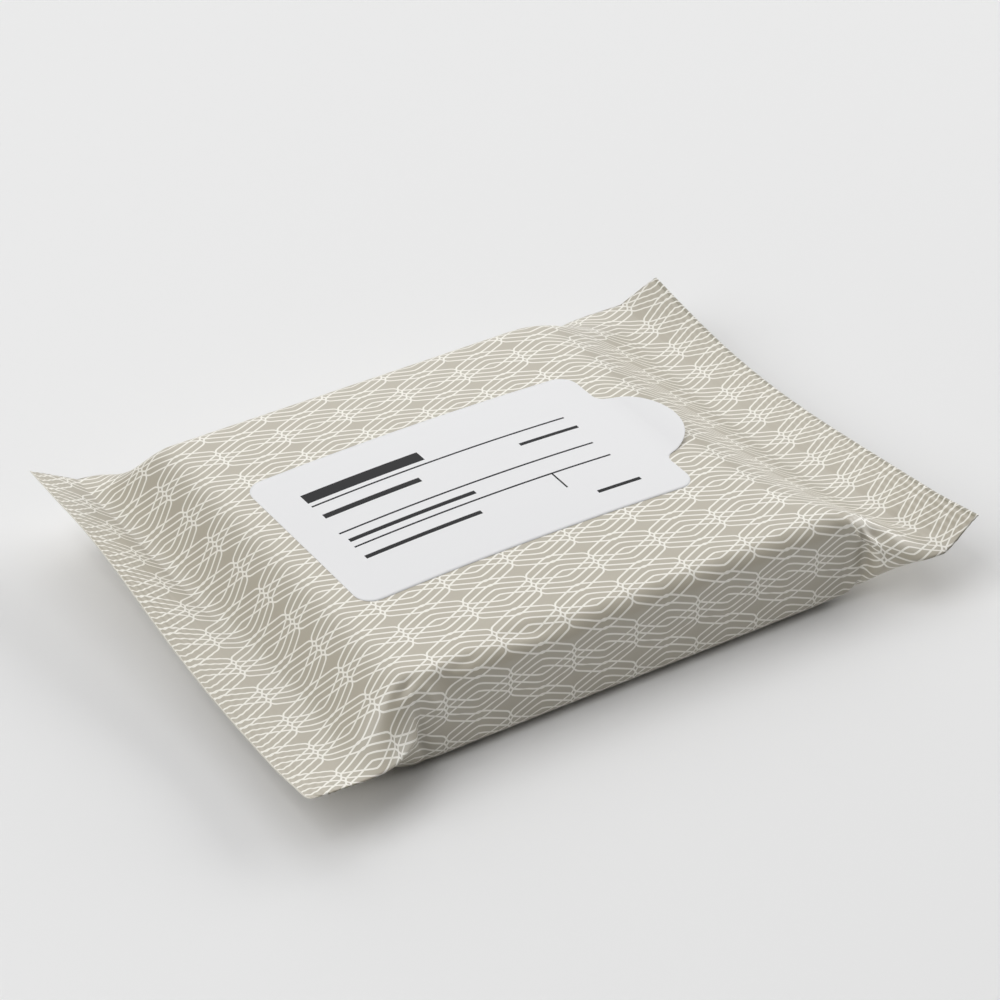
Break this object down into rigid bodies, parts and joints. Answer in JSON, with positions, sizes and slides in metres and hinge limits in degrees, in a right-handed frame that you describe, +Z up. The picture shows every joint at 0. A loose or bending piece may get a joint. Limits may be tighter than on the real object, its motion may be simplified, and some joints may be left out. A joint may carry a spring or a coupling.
{
  "type": "wet wipes pack",
  "caption": "Flow-wrapped soft pack of wet wipes with crimped end seals and a glued resealable label with a pull tab, closed and lying flat.",
  "frame": {"origin": "on the table under the middle of the pack's box", "axes": "+X along the pack from the seal without the tab to the end with the tab, +Y across to its back long edge, +Z up out of the label"},
  "size_m": [0.1934, 0.143, 0.0287],
  "materials": {
    "film": "printed polyethylene and polyester film, satin, greige with a thin off-white wavy net",
    "label": "white polypropylene label, satin, with plain dark rules and bars in place of its text"
  },
  "bodies": {
    "root": {"film_pouch": "film", "resealable_label": "label"}
  },
  "joints": []
}
